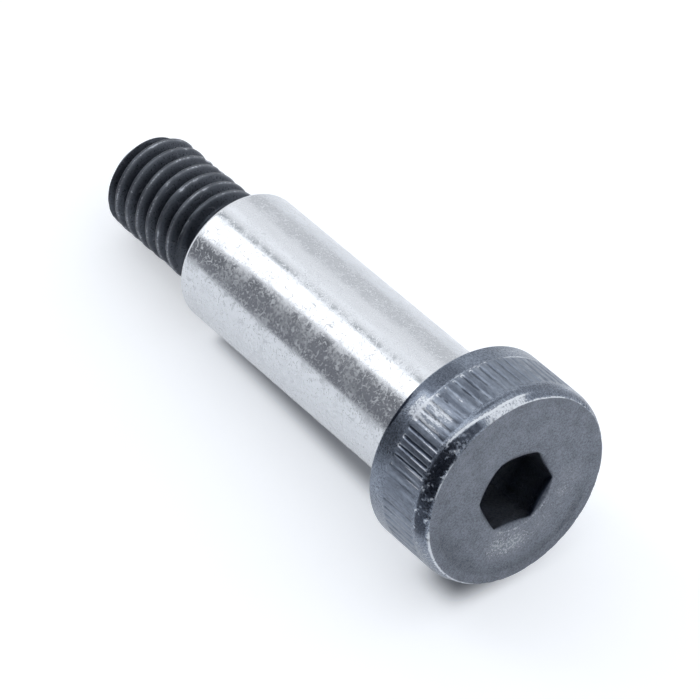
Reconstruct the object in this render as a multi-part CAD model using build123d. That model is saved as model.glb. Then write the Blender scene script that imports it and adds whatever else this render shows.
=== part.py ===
from build123d import *
import os
from itertools import pairwise
from math import ceil, cos, pi, radians, sin, sqrt, tan

# Socket head shoulder bolt, 1/2 in shoulder with a 3/8-16 UNC thread. All sizes are in millimetres.
# The bolt stands on the flat face of its head. Z runs along its axis, from that face to the thread's tip,
# and the origin is the centre of the face.

# Head: a short cylinder with a rounded edge at its face and a straight knurl round its side
head_diameter = 18.8
head_height = 7.75
face_edge_width = 0.5
face_edge_height = 1.5
bearing_edge_chamfer = 0.3
knurl_teeth = 68
knurl_depth = 0.2
knurl_start = 1.7
knurl_length = 3.95

# Hexagon socket in the head's face, for a 1/4 in key
socket_across_flats = 6.55
socket_depth = 5.6
socket_drill_point_angle = 120
socket_mouth_lip = 0.06
socket_mouth_angle = 140

# Shoulder: ground to size, with a broken edge at its far end
shoulder_diameter = 12.7
shoulder_length = 31.75
shoulder_edge_chamfer = 0.25

# Thread: 3/8-16 UNC, right-handed, with a neck between it and the shoulder and a chamfered tip
thread_diameter = 9.44
thread_pitch = 25.4 / 16
thread_length = 15.0
thread_angle = 60
thread_start_angle = 46.5
neck_width = 2.1
neck_root_clearance = 0.05
tip_root_clearance = 0.35

# Worked out from the sizes above
head_radius = head_diameter / 2
shoulder_radius = shoulder_diameter / 2
thread_radius = thread_diameter / 2
flank_slope = tan(radians(thread_angle / 2))
root_flat = thread_pitch / 8
crest_flat = thread_pitch * 3 / 16
thread_depth = (thread_pitch - root_flat - crest_flat) / 2 / flank_slope
root_radius = thread_radius - thread_depth
neck_radius = root_radius - neck_root_clearance
tip_radius = root_radius - tip_root_clearance
shoulder_end = head_height + shoulder_length
neck_end = shoulder_end + neck_width
tip_end = shoulder_end + thread_length

# Thread profile from one root to the next: each corner's radius, and its rise from the middle of the crest
thread_profile = [
    (root_radius, -(thread_pitch + root_flat) / 2),
    (root_radius, -(thread_pitch - root_flat) / 2),
    (thread_radius, -crest_flat / 2),
    (thread_radius, crest_flat / 2),
    (root_radius, (thread_pitch - root_flat) / 2),
]


def turned_blank():
    """Head, shoulder and neck as the lathe turns them, before the socket and the knurl are made."""
    with BuildSketch(Plane.XZ) as section:
        with BuildLine():
            face = Line((0, 0), (head_radius - face_edge_width, 0))
            TangentArc((head_radius, face_edge_height), face @ 1, tangent=(0, -1))
            Polyline(
                (head_radius, face_edge_height),
                (head_radius, head_height - bearing_edge_chamfer),
                (head_radius - bearing_edge_chamfer, head_height),
                (shoulder_radius, head_height),
                (shoulder_radius, shoulder_end - shoulder_edge_chamfer),
                (shoulder_radius - shoulder_edge_chamfer, shoulder_end),
                (neck_radius, shoulder_end),
                (neck_radius, neck_end),
                (0, neck_end),
                (0, 0),
            )
        make_face()
    return revolve(section.sketch, Axis.Z)


def knurl_grooves():
    """The ring of V grooves round the head, as one cutting tool: a plain ring less a toothed disc."""
    points = []
    for step in range(2 * knurl_teeth):
        radius = head_radius if step % 2 == 0 else head_radius - knurl_depth
        angle = pi * step / knurl_teeth
        points.append((radius * cos(angle), radius * sin(angle)))
    ring = Circle(head_radius + knurl_depth) - make_face(Polyline(*points, close=True))
    return Pos(0, 0, knurl_start) * extrude(ring, knurl_length)


def hex_socket():
    """The key's hexagon, with a drill point at its bottom and a countersunk mouth."""
    corner_radius = socket_across_flats / sqrt(3)
    drill_radius = socket_across_flats / 2
    drill_point = drill_radius / tan(radians(socket_drill_point_angle / 2))
    mouth_radius = corner_radius + socket_mouth_lip
    mouth_depth = mouth_radius / tan(radians(socket_mouth_angle / 2))
    hexagon = extrude(RegularPolygon(corner_radius, 6), socket_depth)
    drill = Pos(0, 0, socket_depth + drill_point / 2) * Cone(drill_radius, 0, drill_point)
    mouth = Pos(0, 0, mouth_depth / 2) * Cone(mouth_radius, 0, mouth_depth)
    return hexagon + drill + mouth


def helix(radius, start):
    """One right-hand turn of the thread's helix."""
    return Edge.make_helix(thread_pitch, thread_pitch, radius, center=(0, 0, start))


def thread_turn(crest):
    """The skin of one turn: root, flank, crest and flank, each a strip ruled between two helices."""
    edges = [helix(radius, crest + rise) for radius, rise in thread_profile]
    return [Face.make_surface_from_curves(low, high) for low, high in pairwise(edges)]


def thread_end(crest):
    """The two faces that close an end of the skin: the profile's step and a ramp in to the axis."""
    start = crest + thread_profile[0][1]
    points = [(0, 0, start)]
    for radius, rise in thread_profile:
        points.append((radius, 0, crest + rise))
    points.append((0, 0, start + thread_pitch))
    axis = Edge.make_line((0, 0, start), (0, 0, start + thread_pitch))
    step = make_face(Polyline(*points, close=True)).face()
    ramp = Face.make_surface_from_curves(axis, helix(root_radius, start))
    return [step, ramp]


def threaded_shank():
    """The thread as a closed skin, cut to a turned outline with a cone at each end."""
    first_crest = neck_end - thread_pitch
    turns = ceil((tip_end - neck_end) / thread_pitch) + 2
    skin = thread_end(first_crest) + thread_end(first_crest + turns * thread_pitch)
    for turn in range(turns):
        skin += thread_turn(first_crest + turn * thread_pitch)

    clear_radius = thread_radius + thread_depth / 4
    with BuildSketch(Plane.XZ) as outline:
        with BuildLine():
            Polyline(
                (0, neck_end),
                (neck_radius, neck_end),
                (clear_radius, neck_end + clear_radius - neck_radius),
                (clear_radius, tip_end + tip_radius - clear_radius),
                (tip_radius, tip_end),
                (0, tip_end),
                close=True,
            )
        make_face()
    shank = revolve(outline.sketch, Axis.Z) & Solid(Shell(skin))
    return Rot(0, 0, thread_start_angle) * shank


shoulder_bolt = turned_blank() - knurl_grooves() - hex_socket() + threaded_shank()

os.makedirs("parts", exist_ok=True)
export_step(shoulder_bolt, "parts/shoulder_bolt.step")
print("bolt length", round(tip_end, 2), "mm, thread depth", round(thread_depth, 3), "mm")
print("volume", round(shoulder_bolt.volume, 1), "cubic mm in", len(shoulder_bolt.solids()), "solid")
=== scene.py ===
# %% [markdown]
# # A shoulder bolt, dressed for the camera
# The bolt is one piece of alloy steel: a knurled round head with a hexagon socket, a ground shoulder, and a
# coarse thread. The engineering model gives its sizes. This lesson builds a finer skin on them, with a
# shallower knurl, gives it its finishes, and sets it in a small white studio.

# %% Load the frame
import math
import bpy
import bmesh
from mathutils import Matrix, Vector, noise


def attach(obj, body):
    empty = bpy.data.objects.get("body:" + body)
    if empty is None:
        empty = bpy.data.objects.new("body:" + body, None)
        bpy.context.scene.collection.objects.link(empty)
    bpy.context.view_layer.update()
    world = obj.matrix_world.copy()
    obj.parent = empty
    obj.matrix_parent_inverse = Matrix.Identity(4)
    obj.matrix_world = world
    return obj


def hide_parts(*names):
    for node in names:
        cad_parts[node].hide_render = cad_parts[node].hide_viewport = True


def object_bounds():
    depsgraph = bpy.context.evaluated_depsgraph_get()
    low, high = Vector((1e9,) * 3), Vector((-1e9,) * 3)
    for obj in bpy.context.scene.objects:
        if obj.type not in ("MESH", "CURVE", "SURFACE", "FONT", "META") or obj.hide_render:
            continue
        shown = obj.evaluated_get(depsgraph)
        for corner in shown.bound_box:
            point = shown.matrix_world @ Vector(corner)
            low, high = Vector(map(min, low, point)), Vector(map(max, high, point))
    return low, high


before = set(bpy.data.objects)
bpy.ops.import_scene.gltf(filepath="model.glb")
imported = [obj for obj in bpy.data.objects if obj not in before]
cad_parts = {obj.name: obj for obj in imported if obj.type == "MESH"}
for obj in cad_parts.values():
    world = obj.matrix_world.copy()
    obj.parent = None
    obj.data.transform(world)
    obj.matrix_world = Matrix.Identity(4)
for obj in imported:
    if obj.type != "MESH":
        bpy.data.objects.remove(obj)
cad_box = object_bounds()
print("engineering model", [round(1000 * side, 2) for side in cad_box[1] - cad_box[0]], "mm")

# %% [markdown]
# ## Sizes
# The outline is worked out in millimetres, the unit of the bolt's own drawing, and turned into Blender's
# metres when the mesh is made. The width of the head and the whole length come from the frame. The others
# are the drawing's own values, written once, apart from the shallow step on the face, which only this skin
# has.

# %% Sizes of the bolt, in millimetres
millimetre = 0.001
head_radius = (cad_box[1].x - cad_box[0].x) / 2 / millimetre
tip_end = cad_box[1].z / millimetre
head_height = 7.75
face_edge_width = 0.5
face_radius = head_radius - face_edge_width
face_edge_height = 1.5
bearing_edge = 0.3
face_step = 0.03
step_start, step_end = 7.85, 8.05
socket_flats = 6.55
socket_depth = 5.6
socket_lip = 0.06
socket_mouth_slope = math.tan(math.radians(20))
shoulder_radius = 6.35
shoulder_end = head_height + 31.75
shoulder_edge = 0.25
thread_radius = 4.72
thread_pitch = 25.4 / 16
root_flat = thread_pitch / 8
crest_flat = thread_pitch * 3 / 16
flank_slope = math.tan(math.radians(30))
thread_depth = (thread_pitch - root_flat - crest_flat) / 2 / flank_slope
root_radius = thread_radius - thread_depth
neck_radius = root_radius - 0.05
neck_end = shoulder_end + 2.1
tip_radius = root_radius - 0.35
thread_start = math.radians(46.5)
print("head", round(2 * head_radius, 2), "mm across, thread", round(thread_depth, 3), "mm deep")

# %% [markdown]
# ## The side that shows
# The bolt has been handled and tumbled with others, so some places are rubbed more than others. Their
# places are given as angles round the axis from one direction, the side of the bolt that the camera sees
# best. The same angles place the painted highlights, sheen and shade on the head, which are set for that
# side.

# %% Directions round the axis
camera_azimuth = math.radians(-72.25)


def turned(angle):
    """An angle round the axis, counted from the camera's side and between -180 and 180 degrees."""
    return math.degrees((angle - camera_azimuth + math.pi) % (2 * math.pi) - math.pi)


def ramp(start, end, value):
    """0 before start, 1 after end, and a smooth rise between them."""
    share = min(max((value - start) / (end - start), 0), 1)
    return share * share * (3 - 2 * share)


def patch(angle, middle, width):
    """1 in the middle of a patch and 0 half a width and more away, both in degrees round the axis."""
    away = abs((turned(angle) - middle + 180) % 360 - 180)
    return 1 - ramp(0.3 * width, 0.6 * width, away)


def patches(angle, *places):
    """Several patches added up, each given as its strength, its middle and its width."""
    total = 0
    for strength, middle, width in places:
        total += strength * patch(angle, middle, width)
    return total


def grain(angle, radius, height, size, seed=0):
    """Smooth random value from about -1 to 1, whose lumps are about size millimetres across."""
    across = Vector((radius * math.cos(angle), radius * math.sin(angle), height + 31 * seed))
    return 2 * noise.noise(across / size)


# %% [markdown]
# ## Building with rings
# A turned part is a stack of rings, so the mesh is made ring by ring. Each ring is a list of corners, and
# each corner has an angle, so that two rings with different numbers of corners can still be zipped
# together. The knurl needs hundreds of corners round the head and the socket needs few, and zipping lets
# them meet in one closed skin. Each corner also keeps a rub value, which the materials read later: above 0
# it says how bare the place has been rubbed, and below 0 how thick and dark the layer is. On the head the
# same value also carries painted light: above 0 painted highlight and sheen, and below 0 painted shade.

# %% Rings and skins
corners, rub_and_painted_light_values, skins, finishes = [], [], [], []
HEAD, FACE, SHOULDER, THREAD = 0, 1, 2, 3


def ring(angles, corner):
    """One ring: corner(angle) gives each corner's radius, height and rub value, partly painted light."""
    made = []
    for angle in angles:
        radius, height, rub_and_painted_light = corner(angle)
        made.append((angle, len(corners)))
        corners.append((radius * math.cos(angle), radius * math.sin(angle), height))
        rub_and_painted_light_values.append(rub_and_painted_light)
    return made


def join(low, high, finish):
    """A band of skin between two rings, zipped where they have different numbers of corners."""
    if len(low) == len(high):
        for step in range(len(low)):
            after = (step + 1) % len(low)
            skins.append((low[step][1], low[after][1], high[after][1], high[step][1]))
            finishes.append(finish)
        return
    first, second = 0, 0
    around = 2 * math.pi
    while first < len(low) or second < len(high):
        one = low[(first + 1) % len(low)][0] + around * ((first + 1) // len(low))
        two = high[(second + 1) % len(high)][0] + around * ((second + 1) // len(high))
        here, there = low[first % len(low)][1], high[second % len(high)][1]
        if second == len(high) or (first < len(low) and one <= two):
            first += 1
            skins.append((here, low[first % len(low)][1], there))
        else:
            second += 1
            skins.append((here, high[second % len(high)][1], there))
        finishes.append(finish)


def spread(count, start=0.0):
    """Angles spaced evenly round the axis."""
    return [start + 2 * math.pi * step / count for step in range(count)]


# %% [markdown]
# ## The knurl
# The knurl is rolled: a toothed wheel is pressed on the spinning head and leaves straight grooves with
# round bottoms and round ends. Their depth changes from tooth to tooth, and some are nearly rubbed away. A
# bump texture could show that, but not at the outline, so the grooves are real. Corners sit only where a
# groove has an edge, twelve to a tooth. The grooves are round here and at most 0.14 mm deep. The
# engineering model has V grooves 0.2 mm deep, so in the knurl this skin lies mostly 0.08 mm outside that
# model, and up to 0.17 mm in places.

# %% Knurl grooves
knurl_teeth = 68
knurl_depth = 0.12
knurl_start, knurl_end = 1.62, 5.7
tooth_width = 2 * math.pi * head_radius / knurl_teeth
groove_share = 0.27
groove_half = groove_share * tooth_width
tooth_steps = [-0.5, -0.33, -0.27, -0.2, -0.13, -0.065, 0, 0.065, 0.13, 0.2, 0.27, 0.33]
knurl_angles = [2 * math.pi * (tooth + step + 0.5) / knurl_teeth
                for tooth in range(knurl_teeth) for step in tooth_steps]


def across_groove(angle):
    """How far an angle is from the middle of its groove, as a share of a tooth."""
    tooth = angle * knurl_teeth / (2 * math.pi) - 0.5
    return tooth - round(tooth)


def groove(angle, height):
    """Depth of the knurl at a place on the head's side."""
    across = across_groove(angle) * tooth_width
    along = max(knurl_start + groove_half - height, height - knurl_end + groove_half, 0)
    share = min(math.hypot(across, along) / groove_half, 1)
    uneven = 0.85 + 0.3 * grain(angle, head_radius, height, 2.2)
    uneven += 0.25 * grain(angle, head_radius, height, 0.6, 1)
    rubbed_off = patches(angle, (0.45, 8, 26), (0.7, -38, 24), (0.25, -65, 60))
    rubbed_off += 0.5 * patch(angle, 32, 50) * (1 - ramp(2.4, 4.6, height))
    depth = knurl_depth * 0.5 * (1 + math.cos(math.pi * share))
    return depth * min(max(uneven, 0.3), 1.15) * (1 - rubbed_off)


# %% [markdown]
# ## The head
# The head's side starts at its flat face with a rounded edge, which is an arc that is tangent to the side.
# The rim of the face is where bolts knock against each other in a bin, so it has small chips and a bare
# bright line. One long knock has left a slanting scuff across the rounded edge. The thin dark line on the
# back rim is painted shade of the gap behind it, with no shape of its own. The side also carries a painted
# highlight in a narrow stripe facing the camera, painted sheen where it turns away from the camera, and
# painted shade in the knurl's grooves, on the camera's left and beside the highlight stripe.

# %% The head's skin
arc_radius = (face_edge_width**2 + face_edge_height**2) / (2 * face_edge_width)
arc_end = math.asin(face_edge_height / arc_radius)
arc_steps = 16


def chips(angle):
    """How deep the rim of the face is chipped, in millimetres."""
    struck = patches(angle, (1, -22, 60), (1, -62, 40), (1, -95, 50), (0.5, 60, 90))
    bite = grain(angle, face_radius, 0, 0.75, 2) + 0.6 * grain(angle, face_radius, 0, 0.3, 3)
    return min(0.22 * min(0.2 + struck, 1.1) * max(bite - 0.05, 0), 0.13)


def rim_rub(angle):
    """How bare the rim of the face is."""
    worn = patches(angle, (0.9, -21, 24), (1, -64, 22), (0.9, -96, 44), (0.7, 52, 34), (0.3, 92, 60))
    return min(0.3 + worn, 1)


def scuff(angle, height):
    """The slanting scuff on the rounded edge, the bruise between it and the rim, and a paler edge above."""
    middle = max(1.25 - 0.027 * turned(angle), 0.66)
    line = patch(angle, 20, 56) * (1 - ramp(0.06, 0.2, abs(height - middle)))
    bruise = 0.74 * ramp(12, 22, turned(angle)) * (1 - ramp(38, 48, turned(angle)))
    bruise *= ramp(-0.06, 0.04, middle - height)
    above = 0.42 * patch(angle, 16, 50) * ramp(-0.1, 0.05, height - middle)
    above *= 1 - ramp(0.2, 0.6, height - middle)
    return max(line, bruise, above)


def side_corner(angle, height):
    """A corner on the head's side above the rounded edge."""
    depth = groove(angle, height)
    top = 1 - ramp(0, 0.6 * knurl_depth, depth)
    lip = 4 * top * (1 - top)
    edge = max(1 - abs(across_groove(angle) + groove_share - 0.02) / 0.06, 0)
    from_start = height - knurl_start
    bright = patch(angle, -20, 30) * (1 - ramp(1.2, 3.4, from_start))
    bright *= 1 + 0.6 * grain(angle, 3, 0.3 * height, 0.9, 6)
    dim = 0.34 * patch(angle, -4, 110)
    tips = patch(angle, -2, 90) * (1 - ramp(0.12, 0.34, abs(height - knurl_end + 0.1)))
    # A painted highlight: a narrow pale stripe up the side facing the camera, drawn as bare steel
    painted_highlight = patch(angle, 2, 18) * (1 - ramp(1.4, 2.6, abs(height - 4.2)))
    streak = max(grain(angle, head_radius, 0.12 * height, 0.5, 6) - 0.1, 0) * patch(angle, -8, 120)
    worn = bright * edge + dim * (lip + 0.4 * edge) + 0.26 * painted_highlight
    worn += tips * (0.16 + 0.8 * lip) * (0.75 + 0.8 * grain(angle, head_radius, 0, 0.9, 9))
    # The second term is more of the painted highlight stripe, higher in the knurl
    worn += 0.06 * patch(angle, 36, 60) * top + 0.2 * patch(angle, 1, 18) * ramp(2.2, 3.4, height)
    past_start = ramp(knurl_start - 0.1, knurl_start + 0.1, height)
    in_knurl = past_start * (1 - ramp(knurl_end, knurl_end + 0.3, height))
    burr = 0.36 * patch(angle, 42, 76) * (1 - ramp(0.03, 0.12, abs(height - knurl_end - 0.04)))
    # Painted highlight on the plain band above the knurl, in the same stripe facing the camera
    high = 0.62 * patch(angle, 1, 16) * (1 - ramp(0.3, 0.9, abs(height - 6.3)))
    # Painted sheen on the plain band where it turns away from the camera, and a fainter pale patch on the
    # camera's left
    high += patches(angle, (0.34, 76, 46), (0.16, -68, 36))
    worn = max(worn + 0.3 * streak * top, 0) * in_knurl + scuff(angle, height) + high + burr
    # Painted shade, carried below 0 into the thick layer's colour: darker groove bottoms, darker patches on
    # the camera's left in the knurl and on the band, and a dark patch beside the highlight stripe where the
    # bright panel's reflection would fall
    deep = 0.3 + 0.42 * patch(angle, -12, 90)
    painted_shade = (deep * (1 - top) + 0.22 * patch(angle, -22, 70)) * in_knurl
    painted_shade += 0.26 * patch(angle, -20, 44) * ramp(5.8, 6.2, height)
    painted_shade += 0.56 * patch(angle, 15, 36) * past_start * (0.3 + 0.7 * top)
    # Painted shade: a thin dark crescent along the back rim, standing in for the shadowed gap behind it
    painted_gap_shade = 0.27 * math.sqrt(max(1 - ((turned(angle) + 7) / 11) ** 2, 0))
    painted_shade = max(painted_shade, ramp(-0.03, 0.03, height - head_height + bearing_edge + painted_gap_shade))
    return head_radius - depth, height, min(worn, 1) - painted_shade * (1 - min(2 * worn, 1))


def arc_corner(angle, share):
    """A corner on the rounded edge: share is 0 at the face and 1 at the side."""
    turn = arc_end * (1 - share)
    bite = chips(angle) * (1 - ramp(0, 0.3, share))
    radius = head_radius - arc_radius * (1 - math.cos(turn)) - bite
    height = face_edge_height - arc_radius * math.sin(turn) + 0.4 * bite
    dent = 0.03 * max(grain(angle, radius, height, 0.8, 4) - 0.15, 0) * math.sin(math.pi * share)
    struck = grain(angle + 0.1 * height, radius, 0.4 * height, 0.45, 7)
    struck += 0.7 * grain(angle, radius, height, 0.22, 10)
    knocks = 0.6 * ramp(0.72, 1.0, struck) * patch(angle, -34, 80)
    low = 0.4 * patch(angle, -86, 56) + 0.5 * patch(angle, 92, 50) * ramp(0.35, 0.75, share)
    wide = 0.14 + 0.16 * patch(angle, -76, 70)
    rub_and_painted_light = max(rim_rub(angle) * (1 - ramp(0, wide, share)), scuff(angle, height), knocks, low)
    # Darker across the middle of the rounded edge, most on the camera's left
    thick = (0.3 + 0.5 * patch(angle, -18, 100)) * ramp(0, 0.12, share) * (1 - ramp(0.85, 1, share))
    return radius - dent, height, min(rub_and_painted_light + bite, 1) - thick * (1 - min(3 * rub_and_painted_light, 1))


head_rings = []
for step in range(arc_steps + 1):
    head_rings.append(ring(knurl_angles, lambda a, s=step / arc_steps: arc_corner(a, s)))
ends = [0.02, 0.06, 0.11, 0.16, 0.21, 0.3, 0.5]
middle_rows = 9
rows = [knurl_start + end for end in ends]
clear = knurl_end - knurl_start - 2 * ends[-1]
rows += [rows[-1] + clear * (row + 1) / (middle_rows + 1) for row in range(middle_rows)]
rows += [knurl_end - end for end in reversed(ends)]
plain_rows = [knurl_end + 0.04, knurl_end + 0.16, 6.1, 6.5, 7.1, 7.17, 7.24, 7.31, 7.4]
for height in [knurl_start - 0.04] + rows + plain_rows:
    head_rings.append(ring(knurl_angles, lambda a, h=height: side_corner(a, h)))
# Each ring on the bearing edge: how far in and how far down it is, in widths of the edge, and how dark it is
# painted, as painted shade of the gap behind the rim in a short stretch towards the camera
bearing_steps = ((0.005, 0.94, 0.95), (0.04, 0.75, 0.8), (0.2, 0.6, 0.2), (0.95, 0.05, 0), (1.3, 0, 0))
for inset, below, thick in bearing_steps:
    edge = (head_radius - inset * bearing_edge, head_height - below * bearing_edge)
    head_rings.append(ring(knurl_angles, lambda a, e=edge, k=thick: (*e, -k * patch(a, -7, 30))))
for low, high in zip(head_rings, head_rings[1:]):
    join(low, high, HEAD)
print(len(head_rings), "rings of", len(knurl_angles), "corners up the head's side")

# %% [markdown]
# ## The flat face and the socket
# The face was faced off on a lathe, which leaves it flat but for a shallow step near its rim. Inside, a
# round countersink runs down to a hexagon. Where the cone meets the six flats it leaves six scallops, so
# each corner of the hexagon's edge follows the height where cone and flat meet. That edge is rounded over,
# which sets it up to 0.1 mm deeper. The pocket ends in a drill's cone.

# %% The face and the hexagon
socket_sides = 6
socket_steps = 18
corner_radius = socket_flats / math.sqrt(3)
mouth_radius = corner_radius + socket_lip
socket_angles = spread(socket_sides * socket_steps)
corner_round = 0.05
rub_middle = camera_azimuth + math.radians(230)
rub_out, rub_stretch = 5.75, 1.3
drill_half_angle = math.radians(60)


def hexagon(angle):
    """Radius of the hexagon at an angle, with its corners on the X axis and slightly rounded."""
    sector = math.pi / 3
    off = (angle % sector) - sector / 2
    sharp = socket_flats / 2 / math.cos(off)
    return sharp - corner_round * ramp(0.8, 1, abs(off) / (sector / 2))


def face_corner(angle, radius):
    """A corner on the flat face, with a shallow turned step near the rim."""
    step = face_step * (1 - ramp(step_start, step_end, radius))
    edge = 0.6 * rim_rub(angle) * ramp(face_radius - 0.14, face_radius, radius)
    off = math.hypot(radius * math.cos(angle - rub_middle) - rub_out,
                     radius * math.sin(angle - rub_middle) / rub_stretch)
    belt = patches(angle, (0.2, 200, 110), (0.2, 140, 36), (0.1, -12, 50))
    tumbled = 0.24 * (1 - ramp(0.8, 3.2, off)) + belt * (1 - ramp(0.8, 2.0, abs(radius - 5.9)))
    mouth = 0.4 * patch(angle, 205, 120) * (1 - ramp(mouth_radius + 0.1, mouth_radius + 0.35, radius))
    dark = 0.42 * patch(angle, 225, 190) * ramp(5.4, 7.6, radius) * (1 - min(2 * edge, 1))
    dark *= 1 - 0.5 * ramp(7.85, 8.1, radius)
    return radius, step, min(edge + tumbled + mouth + 0.08 + 0.06 * patch(angle, 180, 220), 1) - dark


def mouth_corner(angle, share, drop, rub_and_painted_light):
    """A corner inside the mouth: share runs from its rim to the hexagon, and drop goes on down the flats."""
    radius = mouth_radius + share * (hexagon(angle) - mouth_radius)
    # Darker on one side of the mouth, from partway in down to the hexagon
    rub_and_painted_light -= 0.55 * patch(angle, 162, 70) * ramp(0.05, 0.3, share)
    return radius, face_step + socket_mouth_slope * (mouth_radius - radius) + drop, rub_and_painted_light


face_rings = [head_rings[0]]
for radius in (8.86, 8.8, 8.6, 8.35, 8.1, 8.05, 8.0, 7.95, 7.9, 7.85, 7.4, 6.9, 6.4, 5.9, 5.4, 4.9, 4.5):
    face_rings.append(ring(knurl_angles, lambda a, r=radius: face_corner(a, r)))
for radius in (mouth_radius + 0.25, mouth_radius + 0.08):
    face_rings.append(ring(socket_angles, lambda a, r=radius: face_corner(a, r)))
for high, low in zip(face_rings, face_rings[1:]):
    join(low, high, FACE)

socket_rings = [face_rings[-1]]
# Each ring in the socket: its share of the way to the hexagon, its drop down the flats, and its rub
socket_steps_down = ((0, 0.01, 0.2), (0.3, 0, 0), (0.7, 0, -0.25), (0.9, 0.03, -0.6), (1, 0.1, -0.7),
                     (1, 0.6, -0.35), (1, 1.8, -0.15), (1, 3.4, -0.25))
for share, drop, rub_and_painted_light in socket_steps_down:
    socket_rings.append(ring(socket_angles, lambda a, s=share, d=drop, w=rub_and_painted_light: mouth_corner(a, s, d, w)))
drill_radius = socket_flats / 2 - 0.02
drill_point = drill_radius / math.tan(drill_half_angle)
socket_rings.append(ring(socket_angles, lambda a: (hexagon(a), socket_depth, 0)))
for share in (0, 0.35, 0.7, 0.97):
    socket_rings.append(ring(socket_angles, lambda a, s=share: (
        drill_radius * (1 - s), socket_depth + drill_point * s, 0)))
for high, low in zip(socket_rings, socket_rings[1:]):
    join(low, high, FACE)
skins.append([number for angle, number in socket_rings[-1]])
finishes.append(FACE)
print("socket", round(2 * mouth_radius, 2), "mm across its mouth and",
      round(socket_depth + drill_point, 2), "mm deep")

# %% [markdown]
# ## The shoulder and the neck
# The shoulder is a plain ground cylinder, so it needs only a few rings. Its broken edge gets three, which
# is enough for a soft glint.

# %% The bearing face, the shoulder and the neck
shoulder_angles = spread(288)
neck_angles = spread(120, thread_start)
outline = [
    (shoulder_radius + 0.04, head_height), (shoulder_radius, head_height + 0.04),
    (shoulder_radius, head_height + 1), (shoulder_radius, 18), (shoulder_radius, 29),
    (shoulder_radius, shoulder_end - shoulder_edge - 0.1),
    (shoulder_radius - 0.01, shoulder_end - shoulder_edge), (shoulder_radius - 0.08, shoulder_end - 0.08),
    (shoulder_radius - shoulder_edge, shoulder_end), (shoulder_radius - shoulder_edge - 0.1, shoulder_end),
]
shoulder_rings = [ring(shoulder_angles, lambda a, o=place: (o[0], o[1], 0)) for place in outline]
join(head_rings[-1], shoulder_rings[0], HEAD)
for low, high in zip(shoulder_rings, shoulder_rings[1:]):
    join(low, high, SHOULDER)
neck_outline = [(neck_radius + 0.25, shoulder_end), (neck_radius + 0.06, shoulder_end + 0.05),
                (neck_radius, shoulder_end + 0.25), (neck_radius, neck_end)]
neck_rings = [ring(neck_angles, lambda a, o=place: (o[0], o[1], 0.3)) for place in neck_outline]
join(shoulder_rings[-1], neck_rings[0], THREAD)
for low, high in zip(neck_rings, neck_rings[1:]):
    join(low, high, THREAD)

# %% [markdown]
# ## The thread
# The thread is a 3/8-16 UNC, right-handed. One way is to cut a helix with a modifier. It is cleaner to lay
# the grid itself along the helix: each row of corners climbs by one pitch in a turn, so every crest and
# root is an unbroken line of the mesh. At both ends the rows are held back to the neck and to the flat tip,
# where their corners fall together and are welded. Rolled crests are rounded and carry nicks, and the edge
# of the crest towards the head is rubbed to a thin pale line.

# %% The thread's skin
half_pitch = thread_pitch / 2
rises = [0, 0.06, 0.11, 0.15, 0.19, 0.24, 0.34, 0.46, 0.57, 0.65, 0.7, 0.74, 0.77]
stations = [-half_pitch] + [-rise for rise in reversed(rises[1:])] + rises
turns = math.ceil((tip_end - neck_end) / thread_pitch) + 3
pale_line, pale_width = -0.14, 0.08


def thread_profile(rise):
    """Radius of the thread at a rise from the middle of its crest, with round crest and root corners."""
    flank = (half_pitch - root_flat / 2 - abs(rise)) / flank_slope
    soft = 0.06
    top = thread_depth - soft * math.log(1 + math.exp((thread_depth - flank) / soft))
    bottom = soft * math.log(1 + math.exp(top / soft))
    return root_radius + min(bottom, thread_depth)


def thread_corner(turn, rise, around):
    """A corner of the thread: radius, height and rub."""
    height = neck_end + (turn - 1) * thread_pitch + rise + thread_pitch * around / (2 * math.pi)
    if height <= neck_end:
        return neck_radius, neck_end, 0.1
    if height >= tip_end:
        return tip_radius, tip_end, 0.1
    radius = thread_profile(rise)
    crest = ramp(0.75, 1, (radius - root_radius) / thread_depth)
    nick = max(grain(around, thread_radius, height, 0.8, 5) - 0.45, 0)
    radius -= 0.12 * nick * crest
    cone = min(neck_radius + height - neck_end, tip_radius + tip_end - height)
    free = ramp(-0.02, 0.1, cone - radius)
    line = math.exp(-(((rise - pale_line) / pale_width) ** 2))
    varied = 0.75 + 0.35 * grain(around, thread_radius, height, 1.6, 8)
    rub_and_painted_light = (0.62 * line * varied + 0.6 * nick * crest) * (0.3 + 0.7 * free)
    return min(radius, cone), height, min(rub_and_painted_light, 1)


thread_rows = []
for turn in range(turns):
    for rise in stations:
        row = []
        for angle in neck_angles:
            radius, height, rub_and_painted_light = thread_corner(turn, rise, angle - thread_start)
            row.append(len(corners))
            corners.append((radius * math.cos(angle), radius * math.sin(angle), height))
            rub_and_painted_light_values.append(rub_and_painted_light)
        thread_rows.append(row)
for low, high in zip(range(len(thread_rows)), range(1, len(thread_rows))):
    for step in range(len(neck_angles)):
        after = step + 1
        climb = 0
        if after == len(neck_angles):
            after, climb = 0, len(stations)
        if high + climb >= len(thread_rows):
            continue
        skins.append((thread_rows[low][step], thread_rows[low + climb][after],
                      thread_rows[high + climb][after], thread_rows[high][step]))
        finishes.append(THREAD)
tip_radii = [tip_radius, tip_radius - 0.1, tip_radius * 0.5, 0.4]
tip_rings = [ring(neck_angles, lambda a, r=radius: (r, tip_end, 0.1)) for radius in tip_radii]
for low, high in zip(tip_rings, tip_rings[1:]):
    join(low, high, THREAD)
skins.append([number for angle, number in tip_rings[-1]])
finishes.append(THREAD)
print(len(thread_rows), "rows along the thread")

# %% [markdown]
# ## One closed skin
# Corners that fall together are welded, which closes the thread's ends on the neck and the tip. The rub
# values go into a named attribute of the mesh, because a material can read it there.

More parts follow.
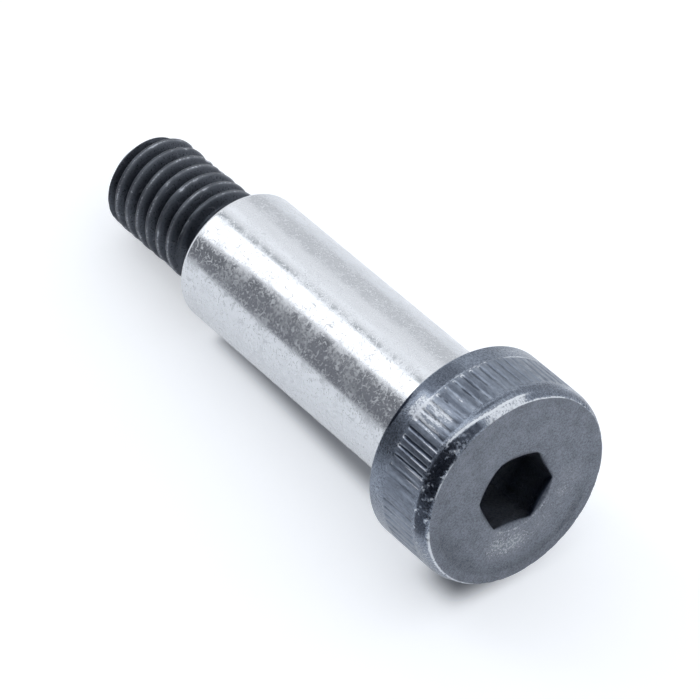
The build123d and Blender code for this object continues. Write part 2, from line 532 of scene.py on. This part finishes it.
# %% Make the piece
weld_distance = 0.5e-6
sharp_angle = math.radians(42)
mesh = bpy.data.meshes.new("shoulder_bolt_skin")
mesh.from_pydata([[millimetre * value for value in corner] for corner in corners], [], skins)
mesh.polygons.foreach_set("material_index", finishes)
mesh.attributes.new("rub_and_painted_light", "FLOAT", "POINT").data.foreach_set("value", rub_and_painted_light_values)
shaping = bmesh.new()
shaping.from_mesh(mesh)
bmesh.ops.remove_doubles(shaping, verts=shaping.verts, dist=weld_distance)
bmesh.ops.recalc_face_normals(shaping, faces=shaping.faces)
open_edges = sum(1 for edge in shaping.edges if not edge.is_manifold)
triangles = sum(len(face.verts) - 2 for face in shaping.faces)
for face in shaping.faces:
    face.smooth = True
shaping.to_mesh(mesh)
shaping.free()
mesh.set_sharp_from_angle(angle=sharp_angle)
bolt = bpy.data.objects.new("shoulder_bolt_skin", mesh)
bpy.context.scene.collection.objects.link(bolt)
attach(bolt, "root")
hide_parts("shoulder_bolt")
print(triangles, "triangles,", open_edges, "open edges")

# %% [markdown]
# ## Colours and nodes
# Colours are written as they look on a screen, and one function turns them into the linear values that a
# shader needs. One small function adds a node with its settings and its links, for every kind of node.

# %% Colour and node helpers
def linear(code):
    """The linear colour of an sRGB code such as 8090a0."""
    shares = [int(code[place:place + 2], 16) / 255 for place in (0, 2, 4)]
    return [share / 12.92 if share <= 0.04045 else ((share + 0.055) / 1.055) ** 2.4 for share in shares] + [1]


def add(tree, kind, *values, sockets=None, out=0, **settings):
    """Adds a node. values fill its inputs in order and sockets fills them by name or number, each with a
    value or with another node's output. settings are its properties. It gives the node's output."""
    node = tree.nodes.new("ShaderNode" + kind)
    for name, value in settings.items():
        setattr(node, name, value)
    for place, value in list(enumerate(values)) + list((sockets or {}).items()):
        if isinstance(value, bpy.types.NodeSocket):
            tree.links.new(value, node.inputs[place])
        elif value is not None:
            node.inputs[place].default_value = value
    return node.outputs[out] if node.outputs else node


def new_material(name):
    """An empty node material and its tree."""
    made = bpy.data.materials.new(name)
    made.use_nodes = True
    made.node_tree.nodes.clear()
    return made, made.node_tree


def in_millimetres(tree):
    """The place on the piece, with one unit to a millimetre, so that pattern sizes are real sizes."""
    place = add(tree, "TexCoord", out="Object")
    return add(tree, "VectorMath", place, sockets={"Scale": 1 / millimetre}, operation="SCALE")


def soft_step(tree, value, start, end, before=0.0, after=1.0):
    """before up to start, after from end on, and a smooth change between them."""
    return add(tree, "MapRange", value, start, end, before, after, interpolation_type="SMOOTHSTEP")


def mix_colours(tree, share, first, second):
    """The first colour where share is 0 and the second where it is 1. On a colour Mix node, sockets 6 and 7
    are the two colours, and output 2 is the result."""
    return add(tree, "Mix", share, sockets={6: first, 7: second}, out=2, data_type="RGBA")


def between(tree, value, low, high, soft_low, soft_high):
    """1 between two values, with an edge of its own softness at each."""
    rise = soft_step(tree, value, low - soft_low, low + soft_low)
    fall = soft_step(tree, value, high - soft_high, high + soft_high, 1.0, 0.0)
    return add(tree, "Math", rise, fall, operation="MULTIPLY")


def hairlines(tree, place, spacing, width, seed):
    """Fine scratches: the walls between slightly bent cells, broken up so that only short pieces stay."""
    shifted = add(tree, "VectorMath", place, (seed, 2 * seed, 3 * seed), operation="ADD")
    warp = add(tree, "TexNoise", shifted, None, 0.7 / spacing, 1.0, out="Color")
    bent = add(tree, "VectorMath", warp, (0.8 * spacing,) * 3, shifted, operation="MULTIPLY_ADD")
    walls = add(tree, "TexVoronoi", bent, None, 1 / spacing, feature="DISTANCE_TO_EDGE")
    wall = soft_step(tree, walls, 0.0, width / spacing, 1.0, 0.0)
    some = add(tree, "TexNoise", shifted, None, 1.6 / spacing, 1.0)
    some = soft_step(tree, some, 0.53, 0.62)
    return add(tree, "Math", wall, some, operation="MULTIPLY")


# %% [markdown]
# ## Black oxide on alloy steel
# The head and the thread are blackened in a hot salt bath, which turns the surface of the steel into
# magnetite. The layer is thin and follows the metal, so it is dark slate, matt and slightly metallic, and
# where it is rubbed through, bare steel shows. A dark metal gives that: its reflection keeps the blue-grey
# tint. The rolled side of the head is smoother than the faced end, and the thread is darkest, so the finish
# is made three times. The rub values say where it is thin, and below 0 where it is thick and dark. On the
# head they also carry painted highlight and sheen as bare steel, and painted shade as the thick layer's
# colour. Fine grains of noise, about 0.2 mm wide and finer, are held against them, so that a rubbed patch
# breaks into specks, as real wear does.

# %% Black oxide
# The colour of a thick dark layer, which the negative rub values also use for painted shade on the head
thick_oxide_and_shade = "1d2330"


def black_oxide(name, dark, pale, bare, roughness, even, wear, rolled, metal, pits):
    """The blackened finish. dark and pale are its two tones, and bare is the steel under it. even says how
    flat its tone is, from 0 to 1. wear says how plainly a rubbed place shows where it hasn't broken through.
    rolled says how far the knurl's lengthwise streaks show. metal is how metallic the layer looks, and pits
    is the depth of its relief in millimetres."""
    made, tree = new_material(name)
    place = in_millimetres(tree)
    cloud = add(tree, "TexNoise", place, None, 1 / 1.8, 5.0, 0.78)
    cloud = soft_step(tree, cloud, 0.3, 0.7, 0.5 * even, 1 - 0.5 * even)
    fine = add(tree, "TexNoise", place, None, 1 / 0.17, 3.0, 0.65)
    fine = soft_step(tree, fine, 0.32, 0.68)

    height = add(tree, "SeparateXYZ", place, out="Z")
    below = soft_step(tree, height, knurl_start, knurl_start + 0.4, 0.0, rolled)
    above = soft_step(tree, height, knurl_end - 0.2, knurl_end + 0.1, 1.0, 0.0)
    in_knurl = add(tree, "Math", below, above, operation="MULTIPLY")
    # The knurl's streaks are drawn coarser than real ones, so that they can be told apart in a picture
    pressed = add(tree, "VectorMath", place, (1, 1, 0.25), operation="MULTIPLY")
    pressed = add(tree, "TexNoise", pressed, None, 1 / 0.22, 4.0, 0.78)
    pressed = soft_step(tree, pressed, 0.32, 0.68)
    streaks = add(tree, "Mix", in_knurl, sockets={2: fine, 3: pressed})
    mottle = add(tree, "Math", streaks, 0.46, add(tree, "Math", fine, 0.1, operation="MULTIPLY"),
                 operation="MULTIPLY_ADD")
    mottle = add(tree, "Math", cloud, 0.44, mottle, operation="MULTIPLY_ADD", use_clamp=True)
    tone = mix_colours(tree, mottle, linear(dark), linear(pale))

    rub_and_painted_light = add(tree, "Attribute", attribute_name="rub_and_painted_light", out="Fac")
    # Below 0 the rub value darkens towards the thick layer's colour, which on the head is partly painted
    # shade
    thick = add(tree, "Math", rub_and_painted_light, -1.0, operation="MULTIPLY", use_clamp=True)
    tone = mix_colours(tree, thick, tone, linear(thick_oxide_and_shade))
    specks = add(tree, "TexNoise", place, None, 1 / 0.2, 4.0, 0.75)
    long_specks = add(tree, "Math", pressed, 0.36, 0.33, operation="MULTIPLY_ADD")
    specks = add(tree, "Mix", add(tree, "Math", in_knurl, 0.5, operation="MULTIPLY"),
                 sockets={2: specks, 3: long_specks})
    reach = add(tree, "Math", rub_and_painted_light, 0.46, specks, operation="MULTIPLY_ADD")
    broken = soft_step(tree, reach, 0.72, 0.84)
    worn = add(tree, "Math", rub_and_painted_light, wear, operation="MULTIPLY", use_clamp=True)
    lines = add(tree, "Math", hairlines(tree, place, 1.3, 0.03, 7.0), 0.14, operation="MULTIPLY")
    thin = add(tree, "Math", add(tree, "Math", broken, worn, operation="MAXIMUM"), lines, operation="MAXIMUM")
    colour = mix_colours(tree, thin, tone, linear(bare))

    rough = add(tree, "Math", fine, 0.14, roughness - 0.07, operation="MULTIPLY_ADD")
    rough = add(tree, "Math", in_knurl, 0.08, rough, operation="MULTIPLY_ADD")
    rough = add(tree, "Math", thin, 0.26, rough, operation="MULTIPLY_ADD")
    relief = add(tree, "Math", fine, 0.35, specks, operation="MULTIPLY_ADD")
    relief = add(tree, "Math", streaks, 0.7, relief, operation="MULTIPLY_ADD")
    relief = add(tree, "Math", thin, -0.6, relief, operation="MULTIPLY_ADD")
    bump = add(tree, "Bump", 0.5, pits * millimetre, sockets={"Height": relief})
    shader = add(tree, "BsdfPrincipled", sockets={"Base Color": colour, "Metallic": metal, "Roughness": rough,
                                                  "Normal": bump})
    add(tree, "OutputMaterial", shader)
    return made


side_finish = black_oxide("black_oxide_rolled_side", dark="565d69", pale="959eac", bare="d9dde3",
                          roughness=0.27, even=0.6, wear=0.2, rolled=1.0, metal=0.95, pits=0.012)
face_finish = black_oxide("black_oxide_faced_end", dark="4f545e", pale="8b919b", bare="bcc0c7",
                          roughness=0.38, even=0.1, wear=0.2, rolled=0.0, metal=0.85, pits=0.05)
thread_finish = black_oxide("black_oxide_thread", dark="343940", pale="464b55", bare="b9bdc5",
                            roughness=0.33, even=0.4, wear=0.55, rolled=0.0, metal=0.6, pits=0.012)
print("black oxide finishes:", side_finish.name, face_finish.name, thread_finish.name)

# %% [markdown]
# ## Ground steel
# The shoulder is ground between wheels after blackening, so it is bare and nearly mirror-like, with marks
# that run round it. Tumbling has since dulled it in patches with tiny dents and short scratches. They are
# too shallow to see as shapes, but they scatter light, so dark reflections sparkle with pale specks. That
# needs relief and roughness and not paint: small lumps in a bump, fainter lines round the axis, rough
# specks, and hair-fine scratches.

# %% Ground steel
def ground_steel():
    """The bright ground finish of the shoulder."""
    made, tree = new_material("ground_steel_shoulder")
    place = in_millimetres(tree)
    around = add(tree, "VectorMath", place, (0.35, 0.35, 14.0), operation="MULTIPLY")
    wheel = add(tree, "TexNoise", around, None, 1.0, 3.0, 0.7)
    lengthwise = add(tree, "VectorMath", place, (2.2, 2.2, 0.16), operation="MULTIPLY")
    streaks = add(tree, "TexNoise", lengthwise, None, 1.0, 3.0, 0.6)
    dents = add(tree, "TexNoise", place, None, 1 / 0.35, 4.0, 0.7)
    waves = add(tree, "TexNoise", place, None, 1 / 1.1, 2.0, 0.5)
    cloud = add(tree, "TexNoise", place, None, 1 / 1.9, 4.0, 0.6)
    cloud = soft_step(tree, cloud, 0.4, 0.62)
    specks = add(tree, "TexNoise", place, None, 1 / 0.3, 5.0, 0.8)
    reach = add(tree, "Math", cloud, 0.12, specks, operation="MULTIPLY_ADD")
    specks = soft_step(tree, reach, 0.5, 0.86, 0.0, 0.8)
    scratches = add(tree, "Math", hairlines(tree, place, 0.42, 0.05, 3.0),
                    hairlines(tree, place, 0.8, 0.06, 11.0), operation="MAXIMUM")
    dull = add(tree, "Math", specks, scratches, operation="MAXIMUM")
    tone = mix_colours(tree, streaks, linear("cdd0d4"), linear("d8dade"))
    tone = mix_colours(tree, add(tree, "Math", dull, 0.3, operation="MULTIPLY"), tone, linear("eceef1"))
    rough = add(tree, "Math", cloud, 0.07, 0.15, operation="MULTIPLY_ADD")
    rough = add(tree, "Math", dull, 0.34, rough, operation="MULTIPLY_ADD")
    rough = add(tree, "Math", scratches, 0.14, rough, operation="MULTIPLY_ADD")
    relief = add(tree, "Math", cloud, 0.4, 0.3, operation="MULTIPLY_ADD")
    relief = add(tree, "Math", dents, relief, operation="MULTIPLY")
    relief = add(tree, "Math", waves, 0.5, relief, operation="MULTIPLY_ADD")
    relief = add(tree, "Math", wheel, 0.2, relief, operation="MULTIPLY_ADD")
    bump = add(tree, "Bump", 0.35, 0.01 * millimetre, sockets={"Height": relief})
    shader = add(tree, "BsdfPrincipled", sockets={"Base Color": tone, "Metallic": 1.0, "Roughness": rough,
                                                  "Normal": bump})
    add(tree, "OutputMaterial", shader)
    return made


for finish in (side_finish, face_finish, ground_steel(), thread_finish):
    mesh.materials.append(finish)
print([finish.name for finish in mesh.materials])

# %% [markdown]
# ## The studio
# The part stands on its head in its own frame, as it would be kept, but it is shown lying on its side, on
# the rim of its head and the end of its shoulder. Moving the bolt would break the frame, so the table comes
# to the bolt instead: a sheet of white paper is laid against its side, and the camera is turned with it.
#
# The paper touches two circles, the head's rim and the shoulder's end. The slope between them is the
# difference of their radii over their distance.

# %% Where the lying table is
lying_azimuth = math.radians(-39.3)
rim_height = head_height - bearing_edge
lying_slope = math.atan((head_radius - shoulder_radius) / (shoulder_end - shoulder_edge - rim_height))
level = Vector((math.cos(lying_azimuth), math.sin(lying_azimuth), 0))
lying_up = level * math.cos(lying_slope) - Vector((0, 0, 1)) * math.sin(lying_slope)
lying_touch = (-level * head_radius + Vector((0, 0, rim_height))) * millimetre
print("the bolt lies at", round(math.degrees(lying_slope), 2), "degrees to the table")

# %% [markdown]
# ## Camera
# A long lens from about 40 cm, looking at the middle of the shoulder, with the table's upward direction
# upright in the picture.

# %% Camera
camera_fall = math.radians(-39.68)
camera_distance = 0.4028
aim = Vector((0, 0, 23.2)) * millimetre
back = Vector((math.cos(camera_azimuth) * math.cos(camera_fall),
               math.sin(camera_azimuth) * math.cos(camera_fall), math.sin(camera_fall)))
side = lying_up.cross(back).normalized()
upright = back.cross(side)
camera_data = bpy.data.cameras.new("camera")
camera_data.lens = 244.2
camera_data.sensor_width = 36
camera_data.clip_start, camera_data.clip_end = 0.01, 10
camera = bpy.data.objects.new("camera", camera_data)
place = Matrix((side, upright, back)).transposed().to_4x4()
place.translation = aim + back * camera_distance
camera.matrix_world = place
bpy.context.scene.collection.objects.link(camera)
bpy.context.scene.camera = camera
print("camera", round(math.degrees(math.asin(back.dot(lying_up))), 1), "degrees above the table")

# %% [markdown]
# ## Two tables for two stances
# Seen from the camera the bolt lies, but anyone who walks round the part sees it standing. So there are two
# sheets of paper, and only one is there at a time. The main camera is below the standing table, and its
# view passes up through that table, which is clear from below. Blender counts such clear layers along each
# path of light (Light Path's Transparent Depth). The standing table has two layers. A path that has come
# through both belongs to the lying picture: it finds the lying table solid and the standing one clear.
# Every other path finds the standing table solid and the lying one clear. Both tables are clear from
# behind.
#
# The paper gives back part of its light as plain white, to the camera and in reflections only, so that it
# looks white where nothing shades it and still keeps the soft shade under the bolt. That glow would fill
# the narrow gaps right under the shoulder and the head, where no light gets in, so it is left out there.
# That part of the shade is painted: it goes by the place on the paper and would stay behind if the bolt
# were moved. The lying sheet ends 85 mm to the left of the bolt, outside the picture, and the dark beyond
# it widens the dark band on the shoulder.

# %% Paper tables
table_half = 1.5
table_left = 0.085
glow_in_view, glow_in_mirror = 0.49, 0.41
# Each gap across the bolt and then along it: from, to and the softness at both, in millimetres
gaps = (((-3.95, 3.95, 1.15, 1.15), (4, 31, 3, 0.8)), ((-5.9, 0, 1.6, 3), (-6.1, -2, 1.4, 1.8)))
across = Vector((0, 0, 1)).cross(lying_up).normalized()
along = lying_up.cross(across).normalized()


def gap_shade(tree):
    """1 on the lying paper in the gaps under the shoulder and under the head, and 0 in the open."""
    touch = tuple(lying_touch / millimetre)
    place = add(tree, "VectorMath", in_millimetres(tree), touch, operation="SUBTRACT")
    sideways = add(tree, "VectorMath", place, tuple(across), operation="DOT_PRODUCT", out="Value")
    lengthwise = add(tree, "VectorMath", place, tuple(along), operation="DOT_PRODUCT", out="Value")
    shades = []
    for wide, long in gaps:
        shades.append(add(tree, "Math", between(tree, sideways, *wide), between(tree, lengthwise, *long),
                          operation="MULTIPLY"))
    return add(tree, "Math", *shades, operation="MAXIMUM")


def paper(name, stance):
    """White paper. stance says when it is there: always, lying or standing."""
    made, tree = new_material(name)
    behind = add(tree, "NewGeometry", out="Backfacing")
    depth = add(tree, "LightPath", out="Transparent Depth")
    passed = add(tree, "Math", depth, 1.5, operation="GREATER_THAN")  # through both layers, not one
    absent = behind
    if stance == "standing":
        absent = add(tree, "Math", behind, passed, operation="MAXIMUM")
    if stance == "lying":
        unpassed = add(tree, "Math", 1.0, passed, operation="SUBTRACT")
        absent = add(tree, "Math", behind, unpassed, operation="MAXIMUM")
    fibre = add(tree, "TexNoise", in_millimetres(tree), None, 1 / 0.4, 2.0)
    colour = mix_colours(tree, fibre, linear("d2d4d7"), linear("d6d7d9"))
    sheet = add(tree, "BsdfDiffuse", colour)
    in_mirror = add(tree, "LightPath", out="Is Glossy Ray")
    strength = add(tree, "Math", in_mirror, glow_in_mirror, operation="MULTIPLY")
    in_view = add(tree, "LightPath", out="Is Camera Ray")
    strength = add(tree, "Math", in_view, glow_in_view, strength, operation="MULTIPLY_ADD")
    if stance != "standing":
        open_paper = add(tree, "Math", 1.0, gap_shade(tree), operation="SUBTRACT")
        strength = add(tree, "Math", strength, open_paper, operation="MULTIPLY")
    glow = add(tree, "Emission", linear("f8fbff"), strength)
    lit = add(tree, "AddShader", sheet, glow)
    clear = add(tree, "BsdfTransparent")
    add(tree, "OutputMaterial", add(tree, "MixShader", absent, lit, clear))
    return made


def sheet_of_paper(name, places, finish):
    """A flat sheet with the corners given, linked into the scene."""
    made = bpy.data.meshes.new(name)
    made.from_pydata(places, [], [list(range(len(places)))])
    made.materials.append(finish)
    table = bpy.data.objects.new(name, made)
    bpy.context.scene.collection.objects.link(table)
    return table


standing_paper = paper("paper_standing", "standing")
for layer in (1, 2):
    depth = -0.01 * layer * millimetre
    square = [(-table_half, -table_half, depth), (table_half, -table_half, depth),
              (table_half, table_half, depth), (-table_half, table_half, depth)]
    sheet_of_paper("standing_table_" + str(layer), square, standing_paper)

floor_line = lying_touch - along * (lying_touch.z / along.z)
upper, lower = floor_line + along * table_half, floor_line - along * table_half
for name, near, far, finish in (("lying_table_upper", floor_line, upper, paper("paper_lying", "lying")),
                                ("lying_table_lower", lower, floor_line, paper("paper_always", "always"))):
    sheet_corners = [near - across * table_left, near + across * table_half,
                     far + across * table_half, far - across * table_left]
    table = sheet_of_paper(name, sheet_corners, finish)
    if table.data.polygons[0].normal.dot(lying_up) < 0:
        table.data.flip_normals()
print("the lying table meets the standing one", round(1000 * floor_line.length, 1), "mm from the axis")

# %% [markdown]
# ## Light
# A ground steel cylinder shows nothing but its surroundings, so the light is the picture. The room is a
# white tent: pale all round, a brighter soft panel behind and to the left, a dark opening where the camera
# looks in, which is deepest near the camera, and a narrow seam and a fold between two panels. It is drawn
# on the world by direction, measured from the lying table, and it gives the table 0.93 of a plain white
# sky, so colours come out a little darker than they are written. The panels are placed for the main camera,
# and the shoulder looks plainer from other sides.

# %% The tent
world = bpy.data.worlds.new("white_tent")
world.use_nodes = True
sky = world.node_tree
sky.nodes.clear()
toward = Vector((back - lying_up * back.dot(lying_up))).normalized()
looking = add(sky, "TexCoord", out="Generated")
to_right = add(sky, "VectorMath", looking, tuple(side), operation="DOT_PRODUCT", out="Value")
to_front = add(sky, "VectorMath", looking, tuple(toward), operation="DOT_PRODUCT", out="Value")
to_top = add(sky, "VectorMath", looking, tuple(lying_up), operation="DOT_PRODUCT", out="Value")
round_angle = add(sky, "Math", to_right, to_front, operation="ARCTAN2")
round_angle = add(sky, "Math", round_angle, 180 / math.pi, operation="MULTIPLY")
rise_angle = add(sky, "Math", to_top, operation="ARCSINE")
rise_angle = add(sky, "Math", rise_angle, 180 / math.pi, operation="MULTIPLY")


def panel(tent, colour, sides, heights):
    """The tent with a panel on it. sides and heights are each two angles and two softnesses: degrees round
    from the camera, where left is negative, and degrees up."""
    sideways, upwards = between(sky, round_angle, *sides), between(sky, rise_angle, *heights)
    inside = add(sky, "Math", sideways, upwards, operation="MULTIPLY")
    return mix_colours(sky, inside, tent, colour)


panels = [
    ((0.27, 0.28, 0.31, 1), (-112, 5, 2.5, 20), (-60, 52, 3, 3)),  # the opening where the camera looks in
    ((0.09, 0.097, 0.118, 1), (-91, 5, 12, 20), (-60, 50, 3, 6)),  # its deepest part, near the camera
    ((0.16, 0.17, 0.19, 1), (-109, -101.5, 2, 2), (-60, 52, 3, 3)),  # a dark strip along its left edge
    ((0.75, 0.77, 0.8, 1), (148, 185, 3, 3), (-30, 29, 3, 2)),  # a greyer sheet behind, low on the right
    ((2.3, 2.34, 2.4, 1), (-138.5, -111.5, 2, 2), (20, 70, 2, 2)),  # the bright panel, behind on the left
    ((0.45, 0.48, 0.51, 1), (-148, -139.5, 3, 3), (20, 70, 2, 2)),  # the seam beside it
    ((1.25, 1.28, 1.32, 1), (-165, -155, 3, 3), (20, 70, 2, 2)),  # the fold behind it
]
tent = (1.05, 1.07, 1.1, 1)
for colour, sides, heights in panels:
    tent = panel(tent, colour, sides, heights)
light = add(sky, "Background", tent, 1.0)
white = add(sky, "Background", (1, 1, 1, 1), 1.0)
in_view = add(sky, "LightPath", out="Is Camera Ray")
add(sky, "OutputWorld", add(sky, "MixShader", in_view, light, white))
bpy.context.scene.world = world
bpy.context.scene.view_settings.view_transform = "Standard"
print(len(panels), "panels in the tent")
